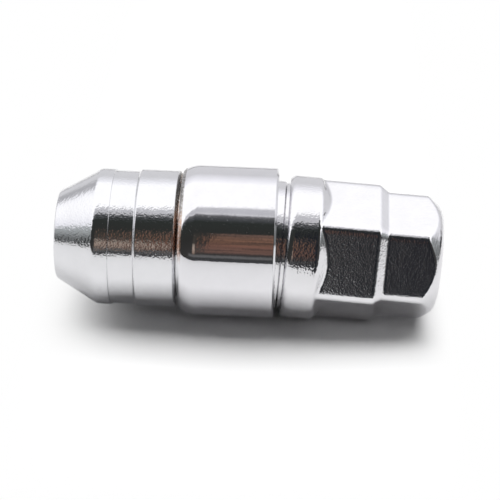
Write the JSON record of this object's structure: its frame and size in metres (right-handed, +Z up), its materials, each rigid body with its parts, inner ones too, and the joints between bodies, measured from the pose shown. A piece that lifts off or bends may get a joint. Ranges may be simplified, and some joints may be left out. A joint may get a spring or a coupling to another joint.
{
  "type": "locking wheel nut with key",
  "caption": "Locking wheel nut with a conical seat, a free-spinning sleeve and a plugged-in dual-hexagon key.",
  "frame": {"origin": "on the surface that the part lies on, below the middle of its length and on the nut's axis line", "axes": "+X along the nut's axis from the conical seat to the key, +Z up, -Y towards the viewer"},
  "size_m": [0.0648, 0.0256, 0.0256],
  "materials": {
    "nut_chrome": "bright chrome plate with a fine orange-peel texture",
    "sleeve_chrome": "bright smooth chrome plate",
    "spring_steel": "oiled spring steel",
    "key_chrome": "chrome plate over a forged, slightly wavy surface"
  },
  "bodies": {
    "nut": {"lock_nut": "nut_chrome", "snap_ring": "spring_steel"},
    "sleeve": {"sleeve": "sleeve_chrome"},
    "key": {"key": "key_chrome"}
  },
  "joints": [
    {"name": "sleeve_spin", "type": "hinge", "parent": "nut", "child": "sleeve", "pos_m": [-0.009, 0, 0.0128], "axis": [1, 0, 0], "continuous": true},
    {"name": "key_pull", "type": "slide", "parent": "nut", "child": "key", "axis": [1, 0, 0], "range_m": [0, 0.02]}
  ]
}
